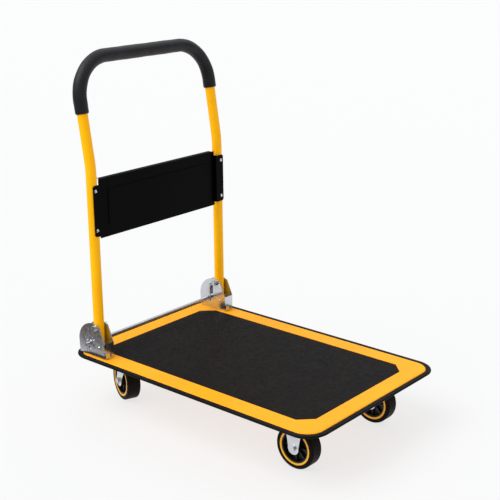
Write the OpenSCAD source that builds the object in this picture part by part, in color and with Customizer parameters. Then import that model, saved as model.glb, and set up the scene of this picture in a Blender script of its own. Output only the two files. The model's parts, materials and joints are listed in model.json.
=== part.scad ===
// Platform trolley with a folding handle, two fixed front casters and two swivel rear casters.
// Millimetres. +X points forward, away from the handle, +Y to the left of someone pushing, +Z up.
// The origin is on the ground under the middle of the deck.

/* [Deck] */
// Length of the pressed deck pan along X, without the bumper
deck_l = 730; // [660:2:860]
// Width of the pressed deck pan along Y, without the bumper
deck_w = 485; // [478:1:490]
// Height of the deck border above the ground
deck_top = 137.8; // [136.4:0.2:138.2]
// Sheet thickness of the deck pan
deck_sheet = 1.5; // [1:0.1:1.8]
// Radius of the pan's corners in plan
deck_corner_r = 44; // [38:1:60]
// Radius where the border rolls over into the skirt
rim_roll_r = 5; // [3:0.5:6]
// Height of the straight skirt below the rolled edge
skirt_h = 5; // [4:0.5:8]

/* [Mat] */
// Length of the anti-slip mat along X
mat_l = 641; // [561:2:645]
// Width of the anti-slip mat along Y
mat_w = 392; // [300:2:392]
// Size of the mat's cut corners along each edge
mat_chamfer = 31; // [10:1:45]
// Thickness of the mat
mat_t = 3; // [2.8:0.1:4]
// Step from the border down to the top of the mat
mat_step = 0.7; // [0.2:0.1:1.5]

/* [Bumper] */
// How far the rubber stands proud of the pan's skirt
bumper_proud = 12; // [8:0.5:14]
// Thickness of the rubber nose
bumper_h = 5.4; // [5:0.2:7]
// Outer corner radius of the bumper in plan
bumper_corner_r = 56; // [40:1:70]

/* [Handle] */
// Outer diameter of the handle tube
tube_d = 25.4; // [22:0.1:25.4]
// Wall thickness of the handle tube
tube_wall = 1.5; // [1:0.1:2]
// Half the distance between the two legs' axes
leg_y = 220.5; // [219:0.5:222]
// Height of the bend in the legs above the pivot
bend_z = 395; // [385:1:420]
// Length from the bend to the axis of the top bar
upper_len = 251; // [220:1:300]
// Radius of the two top corners
corner_r = 96.5; // [70:0.5:110]
// Backward lean of the upright handle, in degrees
handle_lean = 0.7; // [0.4:0.1:1.2]
// Outer diameter of the foam grip
foam_d = 32.8; // [30:0.1:33]
// Length of each grip leg below the axis of the top bar
foam_leg = 121; // [105:1:130]
// How much further the sleeve reaches down the right leg than down the left one
foam_skew = 9; // [0:1:10]

/* [Panel] */
// Height of the panel
panel_h = 144.5; // [120:0.5:144.5]
// Bottom edge of the panel above the pivot
panel_z = 220.5; // [200:0.5:222]
// Sheet thickness of the panel
panel_sheet = 1.2; // [1:0.1:1.5]
// Height of the side tabs that are riveted to the legs
tab_h = 124; // [110:1:124]

/* [Hinge brackets] */
// X of the handle's pivot
pivot_x = -298.4; // [-298.8:0.1:-298.2]
// Height of the handle's pivot above the ground
pivot_z = 212; // [212:0.1:212.6]
// Sheet thickness of the bracket plates
bracket_sheet = 2.5; // [2:0.1:2.5]
// Radius of the round back of the bracket plates
bracket_r = 49.5; // [48:0.5:51]
// Height of the front web's top edge above the ground
web_top = 177; // [176.6:0.1:177.4]
// Diameter of the pivot bolts
pivot_d = 8; // [8:1:8]

/* [Release bar] */
// Diameter of the foot-operated release bar
bar_d = 8; // [7:0.5:8]
// Travel of the release bar when it is pressed down
bar_travel = 12; // [8:1:12]
// How far each end of the bar stands out of the outer bracket plate
bar_proud = 13.4; // [11:0.2:14]

/* [Wheels] */
// Diameter of the wheels
wheel_d = 101.6; // [100:0.2:102]
// Width of the tyres
tyre_w = 34; // [28:1:36]
// Outer diameter of the coloured rim ring
rim_d = 82; // [78:1:88]
// Outer diameter of the hub disc
hub_d = 73; // [68:1:77]
// Diameter of the axle bolts
axle_d = 8; // [8:1:8]

/* [Casters] */
// X of the front casters' axles
front_caster_x = 264; // [258:1:266]
// X of the rear casters' kingpins
rear_caster_x = -260; // [-266:1:-258]
// Half the distance between the front casters
front_caster_y = 150; // [140:1:152]
// Half the distance between the rear kingpins
rear_caster_y = 155; // [140:1:156]
// Trail from the kingpin back to the axle
trail = 31; // [28:1:33]
// Angle that the swivel casters are turned to at rest, in degrees
swivel_rest = -21; // [-90:1:90]

/* [Hidden] */
$fn = 64;
sides = [-1, 1];
fit = 0.1;             // gap between round parts that are fixed to each other
running = 0.05;        // radial clearance of a running fit
gap = 0.3;             // gap between parts that move past each other
fine = 96;             // facet count of large circles
steel_yellow = "gold";
zinc = "lightsteelblue";
rubber_black = [0.10, 0.10, 0.11];
plastic_black = [0.14, 0.14, 0.15];

// Deck levels, from the border down to the caster plates
border_bottom = deck_top - deck_sheet;
mat_top = deck_top - mat_step;
floor_top = mat_top - mat_t;
floor_bottom = floor_top - deck_sheet;
skirt_top = deck_top - rim_roll_r;
skirt_bottom = skirt_top - skirt_h;
recess_wall = 1.5;
channel_sheet = 2;
channel_bottom = floor_bottom - channel_sheet;
channel_w = 104;
channel_h = 14;
channel_len = 380;
rail_y = 90;
rail_w = 40;
rail_h = 12;
rail_sheet = 1.5;

// Bumper
bead_r = bumper_h / 2;
bumper_top = deck_top - 1.2;
bumper_bottom = bumper_top - bumper_h;
lip_gap = 0.2;
lip_t = 2.3;
hook_t = 1.4;

// Handle, in its own frame: origin on the pivot axis, +Z along the lower legs
tube_r = tube_d / 2;
tube_drop = 38;
// Each leg bends back in two equal steps. The step's sine and cosine are round decimals, 0.07584
// and 0.99712, and the tangent of its half is 3 / 79, so that all the joints meet exactly.
bend_step = atan2(237, 3116);
bend_r = 79 * 3.7;
step_reach = 3 * 3.7;
bend_start = bend_z - 2 * step_reach;
upper_run = upper_len - 2 * step_reach;
sleeve_r = 6;
plug_h = 14;
plug_cap_h = 1.5;
panel_face = 4.7;
panel_half_w = 203;
tab_out = 8.2;
tab_corner = 6;
tab_bottom = panel_z + (panel_h - tab_h) * 0.46;
flange_depth = 12;
field_margin_y = 28;
field_margin_z = 28;
field_raise = 1.5;
rivet_hole_r = 2.6;
rivet_head_r = 4.2;
rivet_z = [tab_bottom + 14.2, tab_bottom + tab_h - 14.2];

// Hinge brackets
bracket_inner = 13.2;
bracket_outer = bracket_inner + bracket_sheet;
bracket_arc = [-305, 173];
bracket_front = -265.3;
bracket_rear = -352.5;
bracket_base_t = 2;
bracket_bottom = deck_top + bracket_base_t;
front_top = [-285.6, bracket_arc[1] + bracket_r];
lip_end = -284.7;
spacer = [-284.2, 163.3];
spacer_r = 3;
base_bolt_x = [-338, -284];
base_bolt_y = leg_y - 2.5;
web_window = [6, 9];

// Release bar and its springs
bar_r = bar_d / 2;
bar_x = pivot_x - tube_r - bar_r - 0.6;
bar_z = 170;
bar_half = leg_y + bracket_outer + bar_proud;
pin_y = bar_half - 5.5;
pin_wire = 1.1;
pin_eye_r = 3.2;
pin_leg = 15.5;
pin_leg_leans = [-6, 32];
washer_r = 8;
washer_t = 1.5;
spring_y = leg_y - bracket_outer - 4.2;
spring_wire = 0.5;
spring_coil_r = 2.7;
spring_turns = 12;
coil_facets = 8;
anchor = [bar_x, 208];
anchor_r = 2.5;

// Casters
plate_l = 92;
plate_w = 66;
plate_t = 2.5;
plate_top = channel_bottom;
plate_bottom = plate_top - plate_t;
bolt_dx = 37;
bolt_dy = 23;
bolt_r = 4;
nut_h = 6.5;
fork_inner = 18.8;
fork_t = 2.5;
fork_boss_r = 14.5;
axle_z = wheel_d / 2;
crown_r = 29;
crown_top = plate_bottom - 6.2;
crown_t = 2.5;
ball_r = 2.9;
ball_ring_r = 24;
ball_count = 18;
dish_r = 17;
dish_bottom = crown_top + 0.7;
dish_t = 2.4;
kingpin_r = 5;
swivel_leg_top = [-26, 26];

// Wheels
tyre_r = wheel_d / 2;
rim_r = rim_d / 2;
hub_r = hub_d / 2;
hub_w = 36.4;
hub_boss_r = 14;
bush_r = 7;
hub_ribs = 8;

// ---- Shared shapes -------------------------------------------------------

// Rectangle centred on the origin with round corners
module rounded_rect(l, w, r) {
    square([l - 2 * r, w], center = true);
    square([l, w - 2 * r], center = true);
    for (sx = sides, sy = sides)
        translate([sx * (l / 2 - r), sy * (w / 2 - r)]) circle(r = r, $fn = fine);
}

// Rectangle centred on the origin with its corners cut off at 45 degrees
module cut_rect(l, w, c) {
    polygon([
        [l / 2 - c, w / 2], [l / 2, w / 2 - c], [l / 2, c - w / 2], [l / 2 - c, -w / 2],
        [c - l / 2, -w / 2], [-l / 2, c - w / 2], [-l / 2, w / 2 - c], [c - l / 2, w / 2]
    ]);
}

// Sweeps a profile, drawn as [distance outside the corner centre, height], round a rectangle
module sweep_rect(l, w, r) {
    for (sx = sides, sy = sides)
        translate([sx * (l / 2 - r), sy * (w / 2 - r), 0])
            rotate(sy > 0 ? (sx > 0 ? 0 : 90) : (sx > 0 ? 270 : 180))
                rotate_extrude(angle = 90, $fn = fine) children();
    for (s = sides) {
        translate([0, s * (w / 2 - r), 0]) rotate([90, 0, s * 90])
            translate([0, 0, r - l / 2]) linear_extrude(l - 2 * r) children();
        translate([s * (l / 2 - r), 0, 0]) rotate([90, 0, s > 0 ? 0 : 180])
            translate([0, 0, r - w / 2]) linear_extrude(w - 2 * r) children();
    }
}

// A drawing in the XZ plane given thickness t along Y, centred on y = 0
module plate_y(t) {
    translate([0, t / 2, 0]) rotate([90, 0, 0]) linear_extrude(t) children();
}

// A drawing in the YZ plane extruded along +X from x
module plate_x(x, t) {
    translate([x, 0, 0]) rotate([90, 0, 90]) linear_extrude(t) children();
}

// Cylinder along Y, from y0 to y1
module rod_y(r, y0, y1) {
    translate([0, y0, 0]) rotate([-90, 0, 0]) cylinder(r = r, h = y1 - y0);
}

module tube_z(r_out, r_in, h) {
    difference() {
        cylinder(r = r_out, h = h);
        translate([0, 0, -1]) cylinder(r = r_in, h = h + 2);
    }
}

// Hexagon head or nut across flats af, height h, along +Z, with a chamfered washer face
module hex_prism(af, h) {
    intersection() {
        cylinder(r = af / sqrt(3), h = h, $fn = 6);
        cylinder(r = af * 0.56, h = h);
    }
}

// Nut along +Z with a clear hole for its bolt
module hex_nut(af, h, hole_r) {
    difference() {
        hex_prism(af, h);
        translate([0, 0, -1]) cylinder(r = hole_r, h = h + 2);
    }
}

// ---- Deck ----------------------------------------------------------------

// Section of the rolled rim, with x measured outwards from the corner centre
module rim_section() {
    roll_x = deck_corner_r - rim_roll_r;
    translate([roll_x, skirt_top]) intersection() {
        difference() {
            circle(r = rim_roll_r);
            circle(r = rim_roll_r - deck_sheet);
        }
        square(rim_roll_r);
    }
    translate([deck_corner_r - deck_sheet, skirt_bottom]) square([deck_sheet, skirt_h]);
}

// Positions of the four bolts of every caster, in the deck's frame
module at_caster_bolts() {
    for (s = sides, dx = sides, dy = sides) {
        translate([front_caster_x + dx * bolt_dx, s * front_caster_y + dy * bolt_dy, 0]) children();
        translate([rear_caster_x + dx * bolt_dx, s * rear_caster_y + dy * bolt_dy, 0]) children();
    }
}

module at_bracket_bolts() {
    for (s = sides, x = base_bolt_x) translate([x, s * base_bolt_y, 0]) children();
}

module deck_pan() {
    color(steel_yellow) difference() {
        union() {
            sweep_rect(deck_l, deck_w, deck_corner_r) rim_section();
            translate([0, 0, border_bottom]) linear_extrude(deck_sheet) difference() {
                rounded_rect(deck_l - 2 * rim_roll_r, deck_w - 2 * rim_roll_r,
                             deck_corner_r - rim_roll_r);
                cut_rect(mat_l, mat_w, mat_chamfer);
            }
            translate([0, 0, floor_bottom]) linear_extrude(deck_top - floor_bottom) difference() {
                cut_rect(mat_l + 2 * recess_wall, mat_w + 2 * recess_wall, mat_chamfer);
                cut_rect(mat_l, mat_w, mat_chamfer);
            }
            translate([0, 0, floor_bottom]) linear_extrude(deck_sheet)
                cut_rect(mat_l + 1, mat_w + 1, mat_chamfer);
        }
        at_caster_bolts() translate([0, 0, floor_bottom - 1])
            cylinder(r = bolt_r + fit, h = deck_sheet + 2);
        at_bracket_bolts() translate([0, 0, border_bottom - 1])
            cylinder(r = bolt_r + fit, h = deck_sheet + 2);
    }
}

// The mat has a shallow pocket underneath for each caster bolt's head
module deck_mat() {
    color(rubber_black) difference() {
        translate([0, 0, floor_top]) linear_extrude(mat_t)
            cut_rect(mat_l - 0.6, mat_w - 0.6, mat_chamfer);
        at_caster_bolts() translate([0, 0, floor_top - 1]) cylinder(r = 9.5, h = 3.3);
    }
}

// Cross channel that stiffens the deck where the casters are bolted on
module deck_channel(x, caster_y) {
    color(steel_yellow) difference() {
        translate([x, 0, 0]) union() {
            translate([-channel_w / 2, -channel_len / 2, channel_bottom])
                cube([channel_w, channel_len, channel_sheet]);
            for (s = sides)
                translate([s * (channel_w - channel_sheet) / 2 - channel_sheet / 2,
                           -channel_len / 2, floor_bottom - channel_h])
                    cube([channel_sheet, channel_len, channel_h - channel_sheet / 2]);
        }
        for (s = sides, dx = sides, dy = sides)
            translate([x + dx * bolt_dx, s * caster_y + dy * bolt_dy, channel_bottom - 1])
                cylinder(r = bolt_r + fit, h = channel_sheet + 2);
    }
}

module deck_channel_front() { deck_channel(front_caster_x, front_caster_y); }

module deck_channel_rear() { deck_channel(rear_caster_x, rear_caster_y); }

// Two lengthwise rails under the deck, between the cross channels
module deck_rails() {
    rail_l = -2 * (rear_caster_x + channel_w / 2) - 6;
    color(steel_yellow) for (s = sides) translate([0, s * rail_y, floor_bottom - rail_h])
        difference() {
            translate([-rail_l / 2, -rail_w / 2, 0]) cube([rail_l, rail_w, rail_h]);
            translate([-rail_l / 2 - 1, rail_sheet - rail_w / 2, -1])
                cube([rail_l + 2, rail_w - 2 * rail_sheet, rail_h + 1 - rail_sheet]);
        }
}

// Rubber strip: a flat nose with a round edge, and a hook that grips the skirt from below
module bumper() {
    l = deck_l + 2 * bumper_proud;
    w = deck_w + 2 * bumper_proud;
    hook_bottom = skirt_bottom - hook_t;
    color(rubber_black) union() {
        sweep_rect(l - 2 * bead_r, w - 2 * bead_r, bumper_corner_r - bead_r)
            translate([bumper_corner_r - bead_r, bumper_bottom + bead_r]) circle(r = bead_r);
        translate([0, 0, bumper_bottom]) linear_extrude(bumper_h) difference() {
            rounded_rect(l - 2 * bead_r, w - 2 * bead_r, bumper_corner_r - bead_r);
            pan_outline(0);
        }
        translate([0, 0, hook_bottom]) linear_extrude(bumper_bottom - hook_bottom + 1) difference() {
            pan_outline(hook_t + 1);
            pan_outline(0);
        }
        translate([0, 0, hook_bottom]) linear_extrude(hook_t) difference() {
            pan_outline(0.5);
            pan_outline(-deck_sheet - lip_gap - lip_t);
        }
        translate([0, 0, hook_bottom]) linear_extrude(hook_t + skirt_h * 0.6) difference() {
            pan_outline(-deck_sheet - lip_gap);
            pan_outline(-deck_sheet - lip_gap - lip_t);
        }
    }
}

// Outline of the pan moved outwards by d
module pan_outline(d) {
    rounded_rect(deck_l + 2 * d, deck_w + 2 * d, deck_corner_r + d);
}

// ---- Hinge brackets ------------------------------------------------------

// Side plate in the XZ plane: a round back, a sloping front edge and a straight foot
module bracket_outline() {
    arc_left = bracket_arc[0] - bracket_r;
    intersection() {
        translate(bracket_arc) circle(r = bracket_r, $fn = fine);
        polygon([
            [arc_left - 1, bracket_arc[1]], [arc_left - 1, front_top[1] + 1], front_top + [-0.4, 1],
            [bracket_front, web_top], [bracket_front, bracket_arc[1]]
        ]);
    }
    polygon([
        [arc_left, bracket_arc[1]], [bracket_rear, bracket_bottom],
        [bracket_front, bracket_bottom], [bracket_front, bracket_arc[1]]
    ]);
}

// Openings in a side plate: the pivot, the spacer rivet and the release bar's slot
module bracket_holes() {
    translate([pivot_x, pivot_z]) circle(r = pivot_d / 2 + fit);
    translate(spacer) circle(r = spacer_r + fit);
    slot_r = bar_r + gap;
    for (z = [bar_z, bar_z - bar_travel]) translate([bar_x, z]) circle(r = slot_r);
    translate([bar_x - slot_r, bar_z - bar_travel]) square([2 * slot_r, bar_travel]);
}

module hinge_bracket(side) {
    color(zinc) translate([0, side * leg_y, 0]) difference() {
        union() {
            for (s = sides) translate([0, s * (bracket_inner + bracket_sheet / 2), 0])
                plate_y(bracket_sheet) difference() {
                    bracket_outline();
                    bracket_holes();
                }
            translate([bracket_front - bracket_sheet, -bracket_outer, bracket_bottom])
                cube([bracket_sheet, 2 * bracket_outer, web_top - bracket_bottom]);
            translate([lip_end, -bracket_inner, web_top - bracket_sheet])
                cube([bracket_front - lip_end, 2 * bracket_inner, bracket_sheet]);
            translate([bracket_rear + 3, -bracket_inner - 1.2, deck_top])
                cube([bracket_front - bracket_rear - 3, 2 * bracket_inner + 2.4, bracket_base_t]);
            translate([bracket_front, -bracket_inner - 1, bracket_bottom])
                cube([4, 13, 14]);
        }
        for (x = base_bolt_x) translate([x, side * (base_bolt_y - leg_y), deck_top - 1])
            cylinder(r = bolt_r + fit, h = bracket_base_t + 2);
        translate([bracket_front - bracket_sheet - 1, 1, bracket_bottom + 1])
            cube([bracket_sheet + 2, web_window[0], web_window[1]]);
        translate([0, -side * (bracket_inner + bracket_sheet / 2), 0]) plate_y(bracket_sheet + 2)
            translate(anchor) circle(r = 1.6);
    }
}

module hinge_bracket_left() { hinge_bracket(1); }

module hinge_bracket_right() { hinge_bracket(-1); }

// Round-headed bolts that hold the brackets to the deck border
module bracket_bolts() {
    color(zinc) at_bracket_bolts() {
        translate([0, 0, bracket_bottom]) cylinder(r1 = 7, r2 = 5.5, h = 3.5);
        translate([0, 0, border_bottom - nut_h - 2]) cylinder(r = bolt_r, h = 14);
    }
}

module bracket_nuts() {
    color(zinc) at_bracket_bolts() translate([0, 0, border_bottom - nut_h])
        hex_nut(13, nut_h, bolt_r + fit);
}

// Pivot bolts, head outside and nut inside, one through each bracket
module pivot_bolts() {
    color(zinc) for (s = sides) translate([pivot_x, s * leg_y, pivot_z]) {
        mirror([0, s < 0 ? 1 : 0, 0]) {
            rod_y(pivot_d / 2, -bracket_outer - nut_h - 2.5, bracket_outer + 1);
            translate([0, bracket_outer, 0]) rotate([-90, 0, 0]) hex_prism(13, 5.3);
        }
    }
}

module pivot_nuts() {
    color(zinc) for (s = sides) translate([pivot_x, s * (leg_y - bracket_outer), pivot_z])
        rotate([s * 90, 0, 0]) hex_nut(13, nut_h, pivot_d / 2 + fit);
}

// Rivets that hold each pair of side plates apart below the tube
module spacer_rivets() {
    color(zinc) for (s = sides) translate([spacer[0], s * leg_y, spacer[1]]) {
        rod_y(spacer_r, -bracket_outer - 0.5, bracket_outer + 0.5);
        for (e = sides) translate([0, e * bracket_outer, 0]) rotate([-e * 90, 0, 0])
            cylinder(r1 = 5, r2 = 3.6, h = 2.2);
    }
}

// Studs riveted to the inner plates, which the release springs hang on
module spring_anchors() {
    color(zinc) for (s = sides) translate([anchor[0], s * (leg_y - bracket_outer), anchor[1]])
        rotate([s * 90, 0, 0]) {
            translate([0, 0, -bracket_sheet]) cylinder(r = 1.5, h = bracket_sheet + 1);
            cylinder(r = anchor_r, h = 6.4);
            translate([0, 0, 6.4]) cylinder(r = 4, h = 1.2);
        }
}

// ---- Release springs -----------------------------------------------------

function unit(v) = v / norm(v);

// Next reference direction of a frame that is carried along a curve without twisting
function carried(u, t) = unit(u - (u * t) * t);

// Closed tube of radius r swept along the points p, with n sides
module sweep_wire(p, r, n, first_ref) {
    last = len(p) - 1;
    t = [for (i = [0:last]) unit(p[min(i + 1, last)] - p[max(i - 1, 0)])];
    u = [for (i = 0, v = carried(first_ref, t[0]); i <= last;
              i = i + 1, v = i <= last ? carried(v, t[i]) : v) v];
    pts = [for (i = [0:last], k = [0:n - 1])
        p[i] + r * (cos(360 * k / n) * u[i] + sin(360 * k / n) * cross(t[i], u[i]))];
    walls = [for (i = [0:last - 1], k = [0:n - 1])
        [i * n + k, (i + 1) * n + k, (i + 1) * n + (k + 1) % n, i * n + (k + 1) % n]];
    caps = [[for (k = [0:n - 1]) k], [for (k = [n - 1:-1:0]) last * n + k]];
    polyhedron(pts, concat(caps, walls), convexity = 10);
}

// Centreline of a tension spring: a loop round the bar, the coil, and a loop round the anchor
function spring_line(loop_low, loop_high, length) = let(
        z_low = loop_low + 2,
        z_high = length - loop_high - 2,
        coil_steps = spring_turns * coil_facets,
        step_angle = 360 / coil_facets)
    concat(
        [for (a = [-250:20:70]) loop_low * [cos(a), 0, sin(a)]],
        [for (i = [0:coil_steps]) [
            spring_coil_r * cos(step_angle * i), spring_coil_r * sin(step_angle * i),
            z_low + (z_high - z_low) * i / coil_steps]],
        [for (a = [-70:20:250]) [0, 0, length] + loop_high * [cos(a), 0, sin(a)]]
    );

module release_spring(side) {
    color(zinc) translate([bar_x, side * spring_y, bar_z])
        sweep_wire(spring_line(bar_r + gap + spring_wire, anchor_r + gap + spring_wire,
                               anchor[1] - bar_z), spring_wire, 6, [0, 1, 0]);
}

module release_spring_left() { release_spring(1); }

module release_spring_right() { release_spring(-1); }

// ---- Handle --------------------------------------------------------------

// Places the handle's own frame on the pivot axis, leaning slightly back
module in_handle_frame() {
    translate([pivot_x, 0, pivot_z]) rotate([0, -handle_lean, 0]) children();
}

// Moves to the far end of one bend step, along the tangents at its two ends
module past_step() {
    translate([0, 0, step_reach]) rotate([0, -bend_step, 0]) translate([0, 0, step_reach]) children();
}

// Bent bar of radius r for one step, from the origin up and back, cut square at its far end
module step_bar(r) {
    difference() {
        translate([-bend_r, 0, 0]) rotate([90, 0, 0])
            rotate_extrude(angle = bend_step + 1, $fn = 720) translate([bend_r, 0])
                circle(r = r, $fn = 64);
        past_step() translate([-2 * r, -2 * r, 0]) cube([4 * r, 4 * r, 4 * r]);
    }
}

// Frame of the straight upper legs: origin where they leave the bend, +Z along them
module in_upper_frame() {
    translate([0, 0, bend_start]) past_step() past_step() children();
}

// Solid bar of radius r along the straight lower leg and the bend above it, at y = leg_y
module lower_leg(r, z_from) {
    translate([0, leg_y, z_from]) cylinder(r = r, h = bend_start - z_from);
    translate([0, leg_y, bend_start]) {
        step_bar(r);
        past_step() step_bar(r);
    }
}

// Solid bar of radius r along one upper leg and its top corner, from w_from above the bend
module upper_leg(r, w_from) {
    corner_w = upper_run - corner_r;
    in_upper_frame() {
        translate([0, leg_y, w_from]) cylinder(r = r, h = corner_w - w_from);
        translate([0, leg_y - corner_r, corner_w]) rotate([90, 0, 90])
            rotate_extrude(angle = 90, $fn = fine) translate([corner_r, 0]) circle(r = r, $fn = 64);
    }
}

// Solid bar of radius r along the straight part of the top
module top_bar(r) {
    in_upper_frame() translate([0, 0, upper_run]) rod_y(r, corner_r - leg_y, leg_y - corner_r);
}

module tube_bar(r, z_from) {
    for (s = sides) mirror([0, s < 0 ? 1 : 0, 0]) {
        lower_leg(r, z_from);
        upper_leg(r, 0);
    }
    top_bar(r);
}

module handle_tube() {
    color(steel_yellow) in_handle_frame() difference() {
        tube_bar(tube_r, -tube_drop);
        tube_bar(tube_r - tube_wall, -tube_drop - 1);
        for (s = sides) {
            translate([0, s * leg_y, 0]) rod_y(sleeve_r + fit, -tube_r - 1, tube_r + 1);
            for (z = rivet_z) translate([0, s * leg_y, z]) rotate([0, 90, 0])
                cylinder(r = rivet_hole_r, h = tube_r + 1);
        }
    }
}

// Plastic plugs that close the lower ends of the legs
module tube_plugs() {
    color(plastic_black) in_handle_frame() for (s = sides)
        translate([0, s * leg_y, -tube_drop]) union() {
            cylinder(r = tube_r - tube_wall - fit, h = plug_h);
            translate([0, 0, -plug_cap_h]) cylinder(r1 = tube_r - 2, r2 = tube_r - 0.4,
                                                   h = plug_cap_h);
        }
}

// Steel sleeves across the legs, which turn on the pivot bolts
module pivot_sleeves() {
    color(zinc) in_handle_frame() for (s = sides) translate([0, s * leg_y, 0]) difference() {
        rod_y(sleeve_r, -tube_r - 0.2, tube_r + 0.2);
        rod_y(pivot_d / 2 + running, -tube_r - 1, tube_r + 1);
    }
}

module foam_bar(r, extra) {
    for (s = sides) mirror([0, s < 0 ? 1 : 0, 0])
        upper_leg(r, upper_run - foam_leg + s * foam_skew / 2 - extra);
    top_bar(r);
}

module foam_grip() {
    color(rubber_black) in_handle_frame() difference() {
        foam_bar(foam_d / 2, 0);
        foam_bar(tube_r, 1);
    }
}

// Outline of one riveted side tab in the YZ plane, with round outer corners
module tab_outline() {
    y_out = leg_y + tab_out;
    translate([panel_half_w, tab_bottom]) square([y_out - tab_corner - panel_half_w, tab_h]);
    translate([panel_half_w, tab_bottom + tab_corner])
        square([y_out - panel_half_w, tab_h - 2 * tab_corner]);
    for (z = [tab_bottom + tab_corner, tab_bottom + tab_h - tab_corner])
        translate([y_out - tab_corner, z]) circle(r = tab_corner);
}

// Pressed sheet panel: body between the legs, raised field, back flanges and riveted tabs
module handle_panel() {
    field = [2 * (panel_half_w - field_margin_y), panel_h - 2 * field_margin_z];
    field_low = [-field[0] / 2, panel_z + field_margin_z];
    back = panel_face - panel_sheet;
    color(plastic_black) in_handle_frame() difference() {
        union() {
            plate_x(back, panel_sheet)
                translate([-panel_half_w, panel_z]) square([2 * panel_half_w, panel_h]);
            plate_x(back, panel_sheet + field_raise) translate(field_low) square(field);
            for (z = [panel_z, panel_z + panel_h - panel_sheet])
                translate([back - flange_depth, -panel_half_w + 7, z])
                    cube([flange_depth + panel_sheet / 2, 2 * panel_half_w - 14, panel_sheet]);
            for (s = sides) mirror([0, s < 0 ? 1 : 0, 0]) {
                plate_x(tube_r, panel_sheet) tab_outline();
                translate([back, panel_half_w - panel_sheet, tab_bottom])
                    cube([tube_r - back + panel_sheet, panel_sheet, tab_h]);
            }
        }
        plate_x(back - 1, field_raise + 1) translate(field_low + panel_sheet * [1, 1])
            square(field - 2 * panel_sheet * [1, 1]);
        for (s = sides, z = rivet_z) translate([0, s * leg_y, z]) rotate([0, 90, 0])
            cylinder(r = rivet_hole_r, h = tube_r + 5);
    }
}

// Dome-headed rivets through the tabs into the legs
module panel_rivets() {
    dome_r = 5.2;
    dome_h = dome_r - sqrt(dome_r * dome_r - rivet_head_r * rivet_head_r);
    face = tube_r + panel_sheet;
    color(zinc) in_handle_frame() for (s = sides, z = rivet_z)
        translate([face, s * leg_y, z]) rotate([0, 90, 0]) {
            translate([0, 0, -6]) cylinder(r = rivet_hole_r - fit, h = 6.5);
            intersection() {
                translate([0, 0, dome_h - dome_r]) sphere(r = dome_r);
                cylinder(r = rivet_head_r, h = dome_r);
            }
        }
}

// ---- Release bar ---------------------------------------------------------

module release_bar() {
    color(zinc) translate([bar_x, 0, bar_z]) difference() {
        rod_y(bar_r, -bar_half, bar_half);
        for (s = sides) translate([0, s * pin_y, -bar_r - 1])
            cylinder(r = pin_wire + fit, h = bar_d + 2);
    }
}

module release_washers() {
    y_in = leg_y + bracket_outer + 0.4;
    color(zinc) for (s = sides) translate([bar_x, s * y_in, bar_z]) rotate([-s * 90, 0, 0])
        tube_z(washer_r, bar_r + fit, washer_t);
}

// Split pins through the ends of the bar: an eye on top and two legs bent apart below
module release_pins() {
    color(zinc) for (s = sides) translate([bar_x, s * pin_y, bar_z]) union() {
        translate([0, 0, bar_r + pin_eye_r + pin_wire - 0.4]) rotate([90, 0, 0])
            rotate_extrude() translate([pin_eye_r, 0]) circle(r = pin_wire, $fn = 24);
        translate([0, 0, -bar_r - 1]) cylinder(r = pin_wire, h = bar_d + 2);
        for (lean = pin_leg_leans) translate([0, 0, -bar_r - 0.5]) rotate([0, 180 - lean, 0])
            cylinder(r = pin_wire * 0.8, h = pin_leg);
    }
}

// ---- Casters -------------------------------------------------------------

module caster_bolts() {
    color(zinc) at_caster_bolts() {
        translate([0, 0, floor_top]) cylinder(r1 = 7, r2 = 5.6, h = 2);
        translate([0, 0, plate_bottom - nut_h - 2.4])
            cylinder(r = bolt_r, h = floor_top - plate_bottom + nut_h + 3);
    }
}

module caster_nuts() {
    color(zinc) at_caster_bolts() translate([0, 0, plate_bottom - nut_h])
        hex_nut(13, nut_h, bolt_r + fit);
}

// Bolted top plate of a caster, centred on the origin in plan
module caster_plate() {
    difference() {
        translate([0, 0, plate_bottom]) linear_extrude(plate_t) rounded_rect(plate_l, plate_w, 8);
        for (dx = sides, dy = sides) translate([dx * bolt_dx, dy * bolt_dy, plate_bottom - 1])
            cylinder(r = bolt_r + fit, h = plate_t + 2);
    }
}

// One fork leg in the XZ plane, from its top edge down to a round boss at the axle
module fork_leg(x_rear, x_front, z_top, axle_x) {
    difference() {
        union() {
            translate([axle_x, axle_z]) circle(r = fork_boss_r);
            polygon([
                [x_rear, z_top], [axle_x - fork_boss_r * 0.98, axle_z + 3],
                [axle_x, axle_z - fork_boss_r * 0.2], [axle_x + fork_boss_r * 0.98, axle_z + 3],
                [x_front, z_top]
            ]);
        }
        translate([axle_x, axle_z]) circle(r = axle_d / 2 + fit);
    }
}

module fork_legs(x_rear, x_front, z_top, axle_x) {
    for (s = sides) translate([0, s * (fork_inner + fork_t / 2), 0])
        plate_y(fork_t) fork_leg(x_rear, x_front, z_top, axle_x);
}

module fixed_fork(side) {
    color(zinc) translate([front_caster_x, side * front_caster_y, 0]) union() {
        caster_plate();
        fork_legs(-28, 28, plate_bottom + 0.5, 0);
    }
}

module fixed_fork_left() { fixed_fork(1); }

module fixed_fork_right() { fixed_fork(-1); }

// Places a swivel caster's own frame: kingpin on the Z axis, wheel trailing towards -X
module at_swivel(side) {
    translate([rear_caster_x, side * rear_caster_y, 0]) rotate(swivel_rest) children();
}

// Top plate with a pressed dish for the kingpin's head and a skirt round the balls
module swivel_plate(side) {
    color(zinc) translate([rear_caster_x, side * rear_caster_y, 0]) difference() {
        union() {
            caster_plate();
            translate([0, 0, dish_bottom]) cylinder(r = dish_r, h = plate_bottom - dish_bottom + 1);
            translate([0, 0, crown_top - 0.6])
                tube_z(crown_r + 3, crown_r + 1, plate_bottom - crown_top + 1.1);
        }
        translate([0, 0, dish_bottom + dish_t]) cylinder(r = dish_r - 3, h = plate_t + 8);
        translate([0, 0, dish_bottom - 1]) cylinder(r = kingpin_r + fit, h = dish_t + 2);
    }
}

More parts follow.
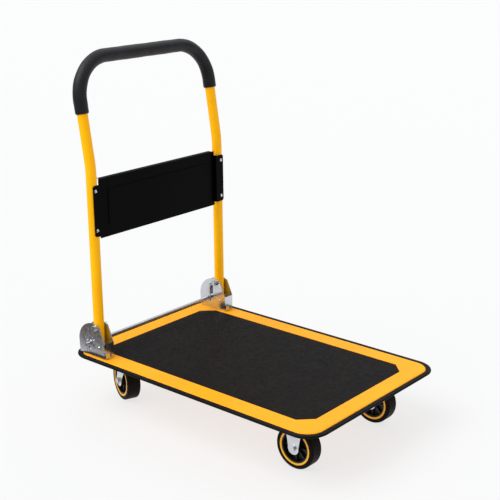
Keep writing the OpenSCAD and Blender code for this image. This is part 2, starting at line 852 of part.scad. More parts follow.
module swivel_plate_left() { swivel_plate(1); }

module swivel_plate_right() { swivel_plate(-1); }

module race_balls(side) {
    color(zinc) translate([rear_caster_x, side * rear_caster_y, crown_top + ball_r + 0.2])
        for (i = [0:ball_count - 1]) rotate(i * 360 / ball_count)
            translate([ball_ring_r, 0, 0]) sphere(r = ball_r, $fn = 24);
}

module race_balls_left() { race_balls(1); }

module race_balls_right() { race_balls(-1); }

module kingpins() {
    color(zinc) for (s = sides) translate([rear_caster_x, s * rear_caster_y, 0]) {
        translate([0, 0, dish_bottom + dish_t]) cylinder(r = 9, h = 4);
        translate([0, 0, crown_top - crown_t - 11])
            cylinder(r = kingpin_r, h = dish_bottom + dish_t - crown_top + crown_t + 12);
    }
}

module kingpin_nuts() {
    color(zinc) for (s = sides)
        translate([rear_caster_x, s * rear_caster_y, crown_top - crown_t - gap - 8])
            hex_nut(17, 8, kingpin_r + fit);
}

// Swivel fork: a round crown that runs on the balls, and two legs that reach back to the axle
module swivel_fork(side) {
    color(zinc) at_swivel(side) difference() {
        union() {
            translate([0, 0, crown_top - crown_t]) cylinder(r = crown_r, h = crown_t);
            fork_legs(swivel_leg_top[0], swivel_leg_top[1], crown_top - 1, -trail);
            translate([swivel_leg_top[0], -fork_inner - fork_t / 2, crown_top - crown_t])
                cube([swivel_leg_top[1] - swivel_leg_top[0], 2 * fork_inner + fork_t, crown_t - 1]);
        }
        translate([0, 0, crown_top - crown_t - 1]) cylinder(r = kingpin_r + running, h = crown_t + 2);
    }
}

module swivel_fork_left() { swivel_fork(1); }

module swivel_fork_right() { swivel_fork(-1); }

// Places a wheel's own frame: origin at the wheel's centre, axle along Y
module at_front_wheel(side) {
    translate([front_caster_x, side * front_caster_y, axle_z]) children();
}

module at_rear_wheel(side) {
    at_swivel(side) translate([-trail, 0, axle_z]) children();
}

// Axle bolt in a wheel's frame, with its head on the side given
module axle_bolt(side) {
    end = fork_inner + fork_t;
    mirror([0, side < 0 ? 1 : 0, 0]) {
        rod_y(axle_d / 2, -end - nut_h - 2, end + 1);
        translate([0, end, 0]) rotate([-90, 0, 0]) hex_prism(13, 5.3);
    }
}

module axle_nut(side) {
    translate([0, -side * (fork_inner + fork_t), 0]) rotate([side * 90, 0, 0])
        hex_nut(13, nut_h, axle_d / 2 + fit);
}

module front_axle_bolts() { color(zinc) for (s = sides) at_front_wheel(s) axle_bolt(s); }

module front_axle_nuts() { color(zinc) for (s = sides) at_front_wheel(s) axle_nut(s); }

module rear_axle_bolt_left() { color(zinc) at_rear_wheel(1) axle_bolt(1); }

module rear_axle_bolt_right() { color(zinc) at_rear_wheel(-1) axle_bolt(-1); }

module rear_axle_nut_left() { color(zinc) at_rear_wheel(1) axle_nut(1); }

module rear_axle_nut_right() { color(zinc) at_rear_wheel(-1) axle_nut(-1); }

// ---- Wheels --------------------------------------------------------------

// Revolves a section, drawn as [radius, distance along the axle], about the axle
module turned() {
    rotate([-90, 0, 0]) rotate_extrude($fn = fine) children();
}

// Tyre section with rounded shoulders
module tyre() {
    shoulder = 4;
    color(rubber_black) turned() intersection() {
        union() {
            translate([rim_r, -tyre_w / 2]) square([tyre_r - shoulder - rim_r, tyre_w]);
            translate([rim_r, shoulder - tyre_w / 2])
                square([tyre_r - rim_r, tyre_w - 2 * shoulder]);
            for (e = sides) translate([tyre_r - shoulder, e * (tyre_w / 2 - shoulder)])
                circle(r = shoulder);
        }
        translate([rim_r, -tyre_w]) square([tyre_r, 2 * tyre_w]);
    }
}

module rim() {
    color(steel_yellow) turned()
        translate([hub_r, 0.4 - tyre_w / 2]) square([rim_r - fit / 2 - hub_r, tyre_w - 0.8]);
}

// Ribbed hub disc with a boss that nearly fills the fork
module hub() {
    web_t = 8;
    rib_t = 3;
    rib_w = 20;
    flange_t = 3.5;
    color(plastic_black) difference() {
        union() {
            turned() translate([bush_r, -web_t / 2]) square([hub_r - fit / 2 - bush_r, web_t]);
            turned() translate([hub_r - flange_t, 1.5 - tyre_w / 2])
                square([flange_t - fit / 2, tyre_w - 3]);
            rod_y(hub_boss_r, -hub_w / 2, hub_w / 2);
            for (i = [0:hub_ribs - 1]) rotate([0, i * 360 / hub_ribs, 0])
                translate([hub_boss_r - 1, -rib_w / 2, -rib_t / 2])
                    cube([hub_r - flange_t - hub_boss_r + 2, rib_w, rib_t]);
        }
        rod_y(bush_r + fit / 2, -hub_w, hub_w);
    }
}

module bush() {
    color(zinc) difference() {
        rod_y(bush_r, -hub_w / 2 - 0.3, hub_w / 2 + 0.3);
        rod_y(axle_d / 2 + running, -hub_w, hub_w);
    }
}

module tyre_front_left() { at_front_wheel(1) tyre(); }

module tyre_front_right() { at_front_wheel(-1) tyre(); }

module tyre_rear_left() { at_rear_wheel(1) tyre(); }

module tyre_rear_right() { at_rear_wheel(-1) tyre(); }

module rim_front_left() { at_front_wheel(1) rim(); }

module rim_front_right() { at_front_wheel(-1) rim(); }

module rim_rear_left() { at_rear_wheel(1) rim(); }

module rim_rear_right() { at_rear_wheel(-1) rim(); }

module hub_front_left() { at_front_wheel(1) hub(); }

module hub_front_right() { at_front_wheel(-1) hub(); }

module hub_rear_left() { at_rear_wheel(1) hub(); }

module hub_rear_right() { at_rear_wheel(-1) hub(); }

module bush_front_left() { at_front_wheel(1) bush(); }

module bush_front_right() { at_front_wheel(-1) bush(); }

module bush_rear_left() { at_rear_wheel(1) bush(); }

module bush_rear_right() { at_rear_wheel(-1) bush(); }

// ---- Output --------------------------------------------------------------

deck_pan();
deck_mat();
deck_channel_front();
deck_channel_rear();
deck_rails();
bumper();
hinge_bracket_left();
hinge_bracket_right();
bracket_bolts();
bracket_nuts();
pivot_bolts();
pivot_nuts();
spacer_rivets();
spring_anchors();
release_spring_left();
release_spring_right();
handle_tube();
tube_plugs();
pivot_sleeves();
foam_grip();
handle_panel();
panel_rivets();
release_bar();
release_washers();
release_pins();
caster_bolts();
caster_nuts();
fixed_fork_left();
fixed_fork_right();
front_axle_bolts();
front_axle_nuts();
swivel_plate_left();
swivel_plate_right();
race_balls_left();
race_balls_right();
kingpins();
kingpin_nuts();
swivel_fork_left();
swivel_fork_right();
rear_axle_bolt_left();
rear_axle_bolt_right();
rear_axle_nut_left();
rear_axle_nut_right();
tyre_front_left();
tyre_front_right();
tyre_rear_left();
tyre_rear_right();
rim_front_left();
rim_front_right();
rim_rear_left();
rim_rear_right();
hub_front_left();
hub_front_right();
hub_rear_left();
hub_rear_right();
bush_front_left();
bush_front_right();
bush_rear_left();
bush_rear_right();
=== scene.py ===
"""Platform trolley: looks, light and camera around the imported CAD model. All lengths are in metres."""

import json
import math

import bpy
from mathutils import Matrix, Vector

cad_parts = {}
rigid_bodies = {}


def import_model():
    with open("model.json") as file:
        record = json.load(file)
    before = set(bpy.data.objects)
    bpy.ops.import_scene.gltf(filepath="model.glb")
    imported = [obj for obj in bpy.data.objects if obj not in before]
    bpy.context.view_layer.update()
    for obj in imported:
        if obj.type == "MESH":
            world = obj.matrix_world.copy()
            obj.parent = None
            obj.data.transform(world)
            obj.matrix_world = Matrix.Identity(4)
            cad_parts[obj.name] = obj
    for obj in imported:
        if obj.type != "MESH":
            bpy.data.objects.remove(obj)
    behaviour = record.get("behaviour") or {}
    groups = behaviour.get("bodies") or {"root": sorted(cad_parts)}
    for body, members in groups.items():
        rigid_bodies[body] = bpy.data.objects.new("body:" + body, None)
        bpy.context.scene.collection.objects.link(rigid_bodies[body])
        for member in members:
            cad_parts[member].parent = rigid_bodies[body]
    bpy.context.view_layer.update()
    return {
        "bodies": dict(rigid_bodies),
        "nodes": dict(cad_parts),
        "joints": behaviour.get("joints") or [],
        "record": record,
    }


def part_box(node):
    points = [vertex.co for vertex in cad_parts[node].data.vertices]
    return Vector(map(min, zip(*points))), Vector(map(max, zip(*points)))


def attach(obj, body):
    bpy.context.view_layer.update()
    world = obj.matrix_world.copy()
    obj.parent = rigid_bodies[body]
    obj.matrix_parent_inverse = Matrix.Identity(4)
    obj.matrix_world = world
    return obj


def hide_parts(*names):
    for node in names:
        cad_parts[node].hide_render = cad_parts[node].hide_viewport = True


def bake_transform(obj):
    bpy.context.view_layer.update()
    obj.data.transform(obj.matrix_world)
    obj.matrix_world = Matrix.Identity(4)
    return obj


SIDES = ("left", "right")

# Camera, as it stands round the middle of the trolley
CAMERA_AZIMUTH = 40.0
CAMERA_ELEVATION = 17.48
CAMERA_DISTANCE = 2.608
CAMERA_TARGET = Vector((0.0, 0.0, 0.4064))
CAMERA_LENS_MM = 79.5
CAMERA_SHIFT = (-0.0023, 0.0065)

# Handle hoop, as in the CAD: straight legs, two equal bend steps back, then the upper hoop
HOOP_LEAN = math.radians(0.7)
BEND_STEP = math.atan2(237, 3116)
STEP_REACH = 0.0111
BEND_START = 0.395 - 2 * STEP_REACH
UPPER_RUN = 0.251 - 2 * STEP_REACH
LEG_Y = 0.2205
CORNER_R = 0.0965
TUBE_R = 0.0127

# Foam grip
FOAM_R = 0.0164
FOAM_LEG = 0.121
FOAM_SKEW = 0.009
FOAM_EDGE_R = 0.0022
FOAM_EDGE_DEPTH = 0.8  # share of the full rounding that the ends have
FOAM_RING_STEP = 0.0022
FOAM_FACETS = 56
FOAM_WAVES = ((0.00018, 61.0, 0.0), (0.00012, 143.0, 1.3))  # height, radians a metre, phase
CREASE_DEPTH = 0.00028
CREASE_PITCH = 0.0085

# Studio
FLOOR_REACH = 60.0
FLOOR_COLOR = (0.152, 0.155, 0.158, 1.0)
FLOOR_GLOW = 0.735
ROOM_LIGHT = 0.80
BACKGROUND = 0.975

# What shiny pieces mirror: a floor that is dark beyond an uneven edge on its near side
MIRRORED_GLOW = (0.03, 0.82)
MIRRORED_COLOR = (0.050, 0.030, 0.018, 1.0)
DARK_EDGE_Y = -0.43
DARK_EDGE_SOFTNESS = 0.04
DARK_EDGE_UNEVENNESS = 0.15
DARK_EDGE_WAVES_PER_METRE = 3.2

# Release springs
SPRING_WIRE_R = 0.0005
SPRING_COIL_R = 0.0027
SPRING_TURNS = 22
SPRING_NECK = 0.0032
SPRING_PLAY = 0.0002
COIL_STEPS = 20
LOOP_STEPS = 26
STUD_R = 0.0025
BAR_R = 0.004


# ---------------------------------------------------------------- mesh helpers


def mesh_object(name, points, faces):
    mesh = bpy.data.meshes.new(name)
    mesh.from_pydata([tuple(p) for p in points], [], faces)
    mesh.validate()
    mesh.shade_smooth()
    obj = bpy.data.objects.new(name, mesh)
    bpy.context.scene.collection.objects.link(obj)
    return obj


def ring_frames(path, side_hint):
    """A pair of unit vectors across the path at each of its points, turning as little as they can."""
    frames = []
    across = Vector(side_hint)
    for i in range(len(path)):
        along = path[min(i + 1, len(path) - 1)] - path[max(i - 1, 0)]
        along.normalize()
        across = (across - along * across.dot(along)).normalized()
        frames.append((across.copy(), along.cross(across)))
    return frames


def ring_points(centre, frame, radius, facets):
    u, v = frame
    angles = (2 * math.pi * k / facets for k in range(facets))
    return [centre + u * (radius * math.cos(a)) + v * (radius * math.sin(a)) for a in angles]


def ring_faces(count, facets, closed):
    """Quads between rings of points, and from the last ring back to the first if closed."""
    faces = []
    for i in range(count if closed else count - 1):
        low, high = i * facets, ((i + 1) % count) * facets
        for k in range(facets):
            n = (k + 1) % facets
            faces.append((low + k, low + n, high + n, high + k))
    return faces


def wire(name, path, radius, facets=10):
    """A round wire along the path with flat ends."""
    points = []
    for centre, frame in zip(path, ring_frames(path, (0.0, 1.0, 0.0))):
        points += ring_points(centre, frame, radius, facets)
    faces = ring_faces(len(path), facets, closed=False)
    last = (len(path) - 1) * facets
    faces.append(tuple(reversed(range(facets))))
    faces.append(tuple(last + k for k in range(facets)))
    return mesh_object(name, points, faces)


def arc(centre, u, v, radius, start, end, count):
    """Points from angle start to angle end, in degrees, on a circle in the plane of u and v."""
    turns = [math.radians(start + (end - start) * i / count) for i in range(count + 1)]
    return [centre + u * (radius * math.cos(t)) + v * (radius * math.sin(t)) for t in turns]


# ------------------------------------------------------------------- materials


class Finish:
    """A node material on the piece's own coordinates, in metres. Scales are in features per metre."""

    def __init__(self, name, color, roughness, metallic=0.0, **sockets):
        self.material = bpy.data.materials.new(name)
        self.material.use_nodes = True
        self.nodes = self.material.node_tree.nodes
        self.links = self.material.node_tree.links
        self.shader = self.nodes["Principled BSDF"]
        self.place = self.nodes.new("ShaderNodeTexCoord").outputs["Object"]
        self.normal = None
        self.set("Base Color", (*color, 1.0))
        self.set("Roughness", roughness)
        self.set("Metallic", metallic)
        for socket, value in sockets.items():
            self.set(socket.replace("_", " "), value)

    def set(self, socket, value):
        self.shader.inputs[socket].default_value = value

    def stretched(self, scale):
        """The coordinates scaled apart along X, Y and Z."""
        mapping = self.nodes.new("ShaderNodeMapping")
        mapping.inputs["Scale"].default_value = scale
        self.links.new(self.place, mapping.inputs["Vector"])
        return mapping.outputs["Vector"]

    def noise(self, per_metre, detail=3.0, place=None):
        node = self.nodes.new("ShaderNodeTexNoise")
        node.inputs["Scale"].default_value = per_metre
        node.inputs["Detail"].default_value = detail
        self.links.new(place or self.place, node.inputs["Vector"])
        return node.outputs["Fac"]

    def pebbles(self, per_metre, smoothness=0.6):
        node = self.nodes.new("ShaderNodeTexVoronoi")
        node.feature = "SMOOTH_F1"
        node.inputs["Scale"].default_value = per_metre
        node.inputs["Smoothness"].default_value = smoothness
        self.links.new(self.place, node.inputs["Vector"])
        return node.outputs["Distance"]

    def spread(self, value, low, high, from_low=0.3, from_high=0.7):
        """The value's middle range mapped to low..high."""
        node = self.nodes.new("ShaderNodeMapRange")
        limits = {"From Min": from_low, "From Max": from_high, "To Min": low, "To Max": high}
        for socket, limit in limits.items():
            node.inputs[socket].default_value = limit
        self.links.new(value, node.inputs["Value"])
        return node.outputs["Result"]

    def vary_color(self, value, low, high):
        """Base colour from low to high as the value goes through its middle range."""
        node = self.nodes.new("ShaderNodeValToRGB")
        for element, position, color in zip(node.color_ramp.elements, (0.3, 0.7), (low, high)):
            element.position = position
            element.color = (*color, 1.0)
        self.links.new(value, node.inputs["Fac"])
        self.links.new(node.outputs["Color"], self.shader.inputs["Base Color"])

    def vary_roughness(self, value, low, high):
        self.links.new(self.spread(value, low, high), self.shader.inputs["Roughness"])

    def bump(self, height, depth):
        """Adds relief of that depth in metres on top of what is there."""
        node = self.nodes.new("ShaderNodeBump")
        node.inputs["Distance"].default_value = depth
        self.links.new(height, node.inputs["Height"])
        if self.normal is not None:
            self.links.new(self.normal, node.inputs["Normal"])
        self.normal = node.outputs["Normal"]
        self.links.new(self.normal, self.shader.inputs["Normal"])

    def distance_from_axis(self, centre, axis):
        """How far a point is from a wheel's axis."""
        offset = self.nodes.new("ShaderNodeVectorMath")
        offset.operation = "SUBTRACT"
        offset.inputs[1].default_value = centre
        self.links.new(self.place, offset.inputs[0])
        across = self.nodes.new("ShaderNodeVectorMath")
        across.operation = "CROSS_PRODUCT"
        across.inputs[1].default_value = axis
        self.links.new(offset.outputs["Vector"], across.inputs[0])
        length = self.nodes.new("ShaderNodeVectorMath")
        length.operation = "LENGTH"
        self.links.new(across.outputs["Vector"], length.inputs[0])
        return length.outputs["Value"]

    def ripples(self, value, per_metre):
        """A sine of the value, one wave per feature, between 0 and 1."""
        angle = self.nodes.new("ShaderNodeMath")
        angle.operation = "MULTIPLY"
        angle.inputs[1].default_value = 2 * math.pi * per_metre
        self.links.new(value, angle.inputs[0])
        wave = self.nodes.new("ShaderNodeMath")
        wave.operation = "SINE"
        self.links.new(angle.outputs["Value"], wave.inputs[0])
        return self.spread(wave.outputs["Value"], 0.0, 1.0, -1.0, 1.0)


def powder_coat(name, color, shade, roughness, gloss):
    """Baked powder paint: orange peel a couple of millimetres across over a fine grain."""
    finish = Finish(name, color, roughness, Specular_IOR_Level=gloss)
    finish.vary_color(finish.noise(9.0), shade, color)
    finish.vary_roughness(finish.noise(55.0), roughness - 0.05, roughness + 0.07)
    finish.bump(finish.noise(420.0, 2.0), 0.00006)
    finish.bump(finish.noise(2600.0, 2.0), 0.00001)
    return finish.material


def zinc_plate(name, light, dark, roughness):
    """Bright zinc plate with cloudy blue-grey patches and faint rolling lines along X."""
    finish = Finish(name, light, roughness, metallic=1.0)
    finish.vary_color(finish.noise(38.0, 5.0), dark, light)
    finish.vary_roughness(finish.noise(120.0, 5.0), roughness - 0.05, roughness + 0.08)
    finish.bump(finish.noise(420.0, 4.0, finish.stretched((0.08, 1.0, 1.0))), 0.000004)
    finish.bump(finish.noise(45.0, 2.0), 0.00004)
    return finish.material


def pebbled_mat():
    """Embossed vinyl sheet: low round pebbles about 2 mm across. The warm brown tint of its near-black
    colour is painted reflection of yellow bounce light from the deck.
    """
    # The warm tint of these near-black colours is painted reflection: it stands in for yellow light
    # bounced from the deck.
    finish = Finish("mat_rubber", (0.006, 0.005, 0.004), 0.5, Specular_IOR_Level=0.07)
    finish.vary_color(finish.noise(14.0, 4.0), (0.005, 0.004, 0.004), (0.007, 0.006, 0.005))
    finish.vary_roughness(finish.noise(90.0), 0.44, 0.60)
    finish.bump(finish.pebbles(480.0), 0.00055)
    finish.bump(finish.noise(2400.0, 2.0), 0.00003)
    return finish.material


def smooth_rubber(name, color, light, roughness):
    """Extruded or moulded rubber with a soft bloom and a fine grain."""
    finish = Finish(name, color, roughness, Specular_IOR_Level=0.06)
    finish.vary_color(finish.noise(30.0, 5.0), color, light)
    finish.vary_roughness(finish.noise(160.0, 4.0), roughness - 0.08, roughness + 0.10)
    finish.bump(finish.noise(900.0, 3.0), 0.00005)
    return finish.material


def closed_cell_foam():
    """Skinned foam rubber: pores under half a millimetre, and a soft sheen."""
    finish = Finish(
        "grip_foam",
        (0.008, 0.008, 0.011),
        0.5,
        Specular_IOR_Level=0.32,
        Sheen_Weight=0.08,
        Sheen_Roughness=0.4,
    )
    finish.vary_color(finish.noise(45.0, 5.0), (0.005, 0.005, 0.008), (0.009, 0.009, 0.014))
    finish.vary_roughness(finish.noise(300.0), 0.42, 0.58)
    finish.bump(finish.noise(110.0, 3.0), 0.00012)
    finish.bump(finish.pebbles(2300.0), 0.00012)
    return finish.material


def moulded_plastic(name, color, light, roughness):
    finish = Finish(name, color, roughness, Specular_IOR_Level=0.35)
    finish.vary_color(finish.noise(60.0, 3.0), color, light)
    finish.vary_roughness(finish.noise(220.0), roughness - 0.06, roughness + 0.08)
    finish.bump(finish.noise(1500.0, 2.0), 0.00003)
    return finish.material


def tyre_rubber(name, centre, axis):
    """Moulded tyre with turned rings from its mould, a third of a millimetre apart."""
    finish = Finish(name, (0.008, 0.008, 0.008), 0.55, Specular_IOR_Level=0.06)
    finish.vary_color(finish.noise(70.0, 5.0), (0.004, 0.003, 0.003), (0.008, 0.006, 0.005))
    finish.vary_roughness(finish.noise(240.0, 4.0), 0.42, 0.62)
    finish.bump(finish.ripples(finish.distance_from_axis(centre, axis), 900.0), 0.00004)
    finish.bump(finish.noise(1300.0, 3.0), 0.00005)
    return finish.material


def steel(name, color, light, roughness, lines):
    """Bare or polished steel; lines stretches its fine marks along the axes."""
    finish = Finish(name, color, roughness, metallic=1.0)
    finish.vary_color(finish.noise(80.0, 4.0), color, light)
    finish.vary_roughness(finish.noise(400.0, 4.0), roughness - 0.05, roughness + 0.10)
    finish.bump(finish.noise(1200.0, 3.0, finish.stretched(lines)), 0.00002)
    return finish.material


def make_materials():
    """One material for each of the record's slots, apart from the tyres."""
    return {
        "deck_paint": powder_coat(
            "deck_paint", (0.93, 0.38, 0.0), (0.89, 0.345, 0.0), 0.34, gloss=0.12
        ),
        "handle_paint": powder_coat(
            "handle_paint", (1.0, 0.50, 0.0), (0.99, 0.45, 0.0), 0.28, gloss=0.14
        ),
        "panel_paint": powder_coat(
            "panel_paint", (0.0018, 0.0015, 0.0020), (0.0011, 0.0010, 0.0013), 0.32, gloss=0.035
        ),
        "mat_rubber": pebbled_mat(),
        "bumper_rubber": smooth_rubber(
            "bumper_rubber", (0.002, 0.002, 0.003), (0.005, 0.005, 0.006), 0.42
        ),
        "grip_foam": closed_cell_foam(),
        "plug_plastic": moulded_plastic(
            "plug_plastic", (0.012, 0.012, 0.014), (0.020, 0.020, 0.022), 0.45
        ),
        "rim_plastic": moulded_plastic(
            "rim_plastic", (0.86, 0.42, 0.012), (0.95, 0.49, 0.02), 0.30
        ),
        "hub_plastic": moulded_plastic(
            "hub_plastic", (0.003, 0.003, 0.004), (0.007, 0.007, 0.008), 0.38
        ),
        "bracket_zinc": zinc_plate(
            "bracket_zinc", (0.68, 0.72, 0.77), (0.58, 0.62, 0.68), 0.20
        ),
        "caster_zinc": zinc_plate("caster_zinc", (0.74, 0.77, 0.80), (0.60, 0.64, 0.69), 0.25),
        "bar_zinc": zinc_plate("bar_zinc", (0.60, 0.62, 0.65), (0.48, 0.51, 0.55), 0.20),
        "fastener_zinc": zinc_plate(
            "fastener_zinc", (0.74, 0.76, 0.78), (0.50, 0.54, 0.58), 0.24
        ),
        "rivet_chrome": steel(
            "rivet_chrome", (0.80, 0.81, 0.83), (0.88, 0.88, 0.89), 0.14, (1.0, 1.0, 1.0)
        ),
        "ball_steel": steel("ball_steel", (0.60, 0.60, 0.62), (0.70, 0.70, 0.71), 0.15, (1, 1, 1)),
        "bush_steel": steel("bush_steel", (0.50, 0.50, 0.52), (0.62, 0.62, 0.63), 0.28, (1, 0.1, 1)),
        "spring_steel": steel(
            "spring_steel", (0.52, 0.53, 0.56), (0.68, 0.69, 0.71), 0.26, (1.0, 1.0, 0.2)
        ),
    }


def paint_nodes(frame, materials):
    """Gives each CAD node the material of its slot, and each tyre its own rings."""
    axles = {j["child"]: j for j in frame["joints"] if j["child"].startswith("wheel_")}
    for part in frame["record"]["subparts"]:
        name, slot = part["node"], part["material_slot"]
        if slot == "tyre_rubber":
            joint = axles[name.replace("tyre", "wheel")]
            material = tyre_rubber(name + "_rubber", joint["pos_m"], joint["axis"])
        else:
            material = materials[slot]
        node = frame["nodes"][name]
        node.data.materials.clear()
        node.data.materials.append(material)


# ---------------------------------------------------------------------- pieces


def upper_hoop_matrix(pivot):
    """From the upper hoop's frame, which starts where its legs leave the bend, to the row frame."""
    reach = Matrix.Translation((0.0, 0.0, STEP_REACH))
    step = reach @ Matrix.Rotation(-BEND_STEP, 4, "Y") @ reach
    lean = Matrix.Rotation(-HOOP_LEAN, 4, "Y")
    return Matrix.Translation(pivot) @ lean @ Matrix.Translation((0.0, 0.0, BEND_START)) @ step @ step


def grip_path():
    """The middle of the grip in the upper hoop's frame, from its +Y end over the top."""
    y, w = Vector((0.0, 1.0, 0.0)), Vector((0.0, 0.0, 1.0))
    corner_w, corner_y = UPPER_RUN - CORNER_R, LEG_Y - CORNER_R
    ends = [UPPER_RUN - FOAM_LEG + side * FOAM_SKEW / 2 for side in (1, -1)]

    def straight(start, end):
        count = max(2, round((end - start).length / FOAM_RING_STEP))
        return [start.lerp(end, i / count) for i in range(count)]

    arc_count = round(CORNER_R * math.pi / 2 / FOAM_RING_STEP)
    return (
        straight(y * LEG_Y + w * ends[0], y * LEG_Y + w * corner_w)
        + arc(y * corner_y + w * corner_w, y, w, CORNER_R, 0, 90, arc_count)[:-1]
        + straight(y * corner_y + w * UPPER_RUN, y * -corner_y + w * UPPER_RUN)
        + arc(y * -corner_y + w * corner_w, y, w, CORNER_R, 90, 180, arc_count)
        + straight(y * -LEG_Y + w * corner_w, y * -LEG_Y + w * ends[1])[1:]
        + [y * -LEG_Y + w * ends[1]]
    )


def foam_radius(run, length, turning, inward):
    """Outer radius: rounded at the ends, a slow waviness, and small creases inside the bends."""
    from_end = min(run, length - run)
    edge = 0.0
    if from_end < FOAM_EDGE_R:
        edge = FOAM_EDGE_R - math.sqrt(FOAM_EDGE_R**2 - (FOAM_EDGE_R - from_end) ** 2)
    swell = sum(height * math.sin(run * rate + phase) for height, rate, phase in FOAM_WAVES)
    crease = CREASE_DEPTH * turning * max(0.0, inward) ** 3
    crease *= math.sin(run * 2 * math.pi / CREASE_PITCH) - 1.0
    return FOAM_R - edge * FOAM_EDGE_DEPTH + swell + crease


def make_grip(frame, material):
    """The foam sleeve: an outer skin with soft ends, and a bore that grips the tube."""
    path = grip_path()
    frames = ring_frames(path, (1.0, 0.0, 0.0))
    runs = [0.0]
    for a, b in zip(path, path[1:]):
        runs.append(runs[-1] + (b - a).length)
    length = runs[-1]
    corner_y, corner_w = LEG_Y - CORNER_R, UPPER_RUN - CORNER_R
    points = []
    for centre, (u, v), run in zip(path, frames, runs):
        turning = 1.0 if abs(centre.y) > corner_y and centre.z > corner_w else 0.0
        middle = Vector((0.0, math.copysign(corner_y, centre.y), corner_w))
        inner_way = (middle - centre).normalized()
        for k in range(FOAM_FACETS):
            angle = 2 * math.pi * k / FOAM_FACETS
            out = u * math.cos(angle) + v * math.sin(angle)
            points.append(centre + out * foam_radius(run, length, turning, out.dot(inner_way)))
    for centre, ring in zip(reversed(path), reversed(frames)):
        points += ring_points(centre, ring, TUBE_R, FOAM_FACETS)
    grip = mesh_object("foam_sleeve", points, ring_faces(2 * len(path), FOAM_FACETS, closed=True))
    pivot = next(j["pos_m"] for j in frame["joints"] if j["name"] == "handle_fold")
    grip.data.transform(upper_hoop_matrix(pivot))
    grip.data.materials.append(material)
    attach(grip, "handle")
    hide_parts("foam_grip")


def spring_path(low, high):
    """Wire of a tension spring from a loop round the bar, at low, to a loop round the stud, at high."""
    x, y, z = Vector((1, 0, 0)), Vector((0, 1, 0)), Vector((0, 0, 1))
    low_r = BAR_R + SPRING_WIRE_R + SPRING_PLAY
    high_r = STUD_R + SPRING_WIRE_R + SPRING_PLAY
    bottom, top = low.z + low_r + SPRING_NECK, high.z - high_r - SPRING_NECK
    count = SPRING_TURNS * COIL_STEPS
    coil = []
    for i in range(count + 1):
        share = i / count
        angle = 2 * math.pi * SPRING_TURNS * share
        around = x * math.cos(angle) + y * math.sin(angle)
        centre = Vector((low.x, low.y, bottom + (top - bottom) * share))
        coil.append(centre + around * SPRING_COIL_R)
    low_loop = arc(low, x, z, low_r, -200, 60, LOOP_STEPS)
    high_loop = arc(high, x, z, high_r, -60, 200, LOOP_STEPS)
    low_neck = [low_loop[-1].lerp(coil[0], t) for t in (0.35, 0.7)]
    high_neck = [coil[-1].lerp(high_loop[0], t) for t in (0.3, 0.65)]
    return low_loop + low_neck + coil + high_neck + high_loop


def make_springs(material):
    """Tension springs that stretch between the studs on the brackets and the release bar."""
    bar_low, bar_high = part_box("release_bar")
    stud_low, stud_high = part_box("spring_anchors")
    for side in SIDES:
        box_low, box_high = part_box(f"release_spring_{side}")
        y = (box_low.y + box_high.y) / 2
        x = (box_low.x + box_high.x) / 2
        low = Vector((x, y, (bar_low.z + bar_high.z) / 2))
        high = Vector((x, y, (stud_low.z + stud_high.z) / 2))
        spring = wire(f"tension_spring_{side}", spring_path(low, high), SPRING_WIRE_R)
        spring.data.materials.append(material)
        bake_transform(spring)
        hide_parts(f"release_spring_{side}")


# ------------------------------------------------------------ studio and camera


def grey(value):
    return (value, value, value, 1.0)


def ray_choice(tree, ray, others, chosen, kind="RGBA"):
    """Gives chosen to one kind of ray and others to the rest. Each is a value or a node's output."""
    path = tree.nodes.new("ShaderNodeLightPath")
    choice = tree.nodes.new("ShaderNodeMix")
    choice.data_type = kind
    tree.links.new(path.outputs[ray], choice.inputs["Factor"])
    for socket, source in (("A", others), ("B", chosen)):
        if isinstance(source, bpy.types.NodeSocket):
            tree.links.new(source, choice.inputs[socket])
        else:
            choice.inputs[socket].default_value = source
    return choice.outputs["Result"]


def mirrored_glow(tree):
    """How bright shiny pieces see the floor: bright, but dark beyond an uneven edge along X."""
    place = tree.nodes.new("ShaderNodeTexCoord").outputs["Object"]
    split = tree.nodes.new("ShaderNodeSeparateXYZ")
    tree.links.new(place, split.inputs["Vector"])
    patches = tree.nodes.new("ShaderNodeTexNoise")
    patches.inputs["Scale"].default_value = DARK_EDGE_WAVES_PER_METRE
    tree.links.new(place, patches.inputs["Vector"])
    edge = tree.nodes.new("ShaderNodeMath")
    edge.operation = "MULTIPLY_ADD"
    edge.inputs[1].default_value = DARK_EDGE_UNEVENNESS
    tree.links.new(patches.outputs["Fac"], edge.inputs[0])
    tree.links.new(split.outputs["Y"], edge.inputs[2])
    glow = tree.nodes.new("ShaderNodeMapRange")
    glow.inputs["From Min"].default_value = DARK_EDGE_Y
    glow.inputs["From Max"].default_value = DARK_EDGE_Y + DARK_EDGE_SOFTNESS
    for socket, strength in zip(("To Min", "To Max"), MIRRORED_GLOW):
        glow.inputs[socket].default_value = strength
    tree.links.new(edge.outputs["Value"], glow.inputs["Value"])
    return glow.outputs["Result"]


def make_floor():
    """A wide pale floor that lifts its own shadows, as a lit sweep does."""
    ways = ((-1, -1), (1, -1), (1, 1), (-1, 1))
    corners = [(x * FLOOR_REACH, y * FLOOR_REACH, 0.0) for x, y in ways]
    floor = mesh_object("floor", corners, [(0, 1, 2, 3)])
    material = bpy.data.materials.new("floor_paper")
    material.use_nodes = True
    tree = material.node_tree
    shader = tree.nodes["Principled BSDF"]
    shader.inputs["Roughness"].default_value = 0.9
    shader.inputs["Specular IOR Level"].default_value = 0.1
    shader.inputs["Emission Color"].default_value = grey(1.0)
    glow = ray_choice(tree, "Is Glossy Ray", FLOOR_GLOW, mirrored_glow(tree), kind="FLOAT")
    tree.links.new(glow, shader.inputs["Emission Strength"])
    color = ray_choice(tree, "Is Glossy Ray", FLOOR_COLOR, MIRRORED_COLOR)
    tree.links.new(color, shader.inputs["Base Color"])
    floor.data.materials.append(material)


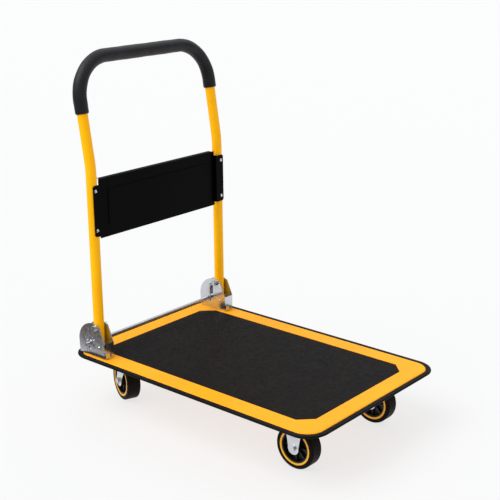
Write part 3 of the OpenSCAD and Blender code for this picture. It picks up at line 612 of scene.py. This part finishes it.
def make_world():
    """An even white room. Metal mirrors it as bright above and dark towards the horizon."""
    world = bpy.data.worlds.new("studio")
    bpy.context.scene.world = world
    world.use_nodes = True
    tree = world.node_tree
    way = tree.nodes.new("ShaderNodeTexCoord")
    split = tree.nodes.new("ShaderNodeSeparateXYZ")
    tree.links.new(way.outputs["Generated"], split.inputs["Vector"])
    ramp = tree.nodes.new("ShaderNodeValToRGB")
    stops = ((0.0, (0.08, 0.09, 0.11, 1.0)), (0.8, grey(0.80)))
    for element, (position, color) in zip(ramp.color_ramp.elements, stops):
        element.position = position
        element.color = color
    tree.links.new(split.outputs["Z"], ramp.inputs["Fac"])
    unseen = ray_choice(tree, "Is Glossy Ray", grey(ROOM_LIGHT), ramp.outputs["Color"])
    color = ray_choice(tree, "Is Camera Ray", unseen, grey(BACKGROUND))
    tree.links.new(color, tree.nodes["Background"].inputs["Color"])


def make_light(name, toward, strength, spread_deg):
    """A very wide distant light from that direction, so that the whole floor is lit alike."""
    data = bpy.data.lights.new(name, "SUN")
    data.energy = strength
    data.angle = math.radians(spread_deg)
    light = bpy.data.objects.new(name, data)
    bpy.context.scene.collection.objects.link(light)
    light.location = toward
    light.rotation_euler = Vector(toward).to_track_quat("Z", "Y").to_euler()


def make_lights():
    make_light("key", (-0.9, -1.4, 2.2), 2.25, 50.0)
    make_light("back", (-0.6, 2.4, 2.0), 0.4, 60.0)


def make_camera():
    azimuth, elevation = math.radians(CAMERA_AZIMUTH), math.radians(CAMERA_ELEVATION)
    back = Vector(
        (
            math.sin(azimuth) * math.cos(elevation),
            -math.cos(azimuth) * math.cos(elevation),
            math.sin(elevation),
        )
    )
    data = bpy.data.cameras.new("camera")
    data.sensor_width = 36.0
    data.lens = CAMERA_LENS_MM
    data.shift_x, data.shift_y = CAMERA_SHIFT
    camera = bpy.data.objects.new("camera", data)
    bpy.context.scene.collection.objects.link(camera)
    camera.location = CAMERA_TARGET + back * CAMERA_DISTANCE
    camera.rotation_euler = (-back).to_track_quat("-Z", "Y").to_euler()
    bpy.context.scene.camera = camera


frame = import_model()
make_camera()
bpy.context.scene.view_settings.view_transform = "Standard"
finishes = make_materials()
paint_nodes(frame, finishes)
make_grip(frame, finishes["grip_foam"])
make_springs(finishes["spring_steel"])
make_floor()
make_world()
make_lights()
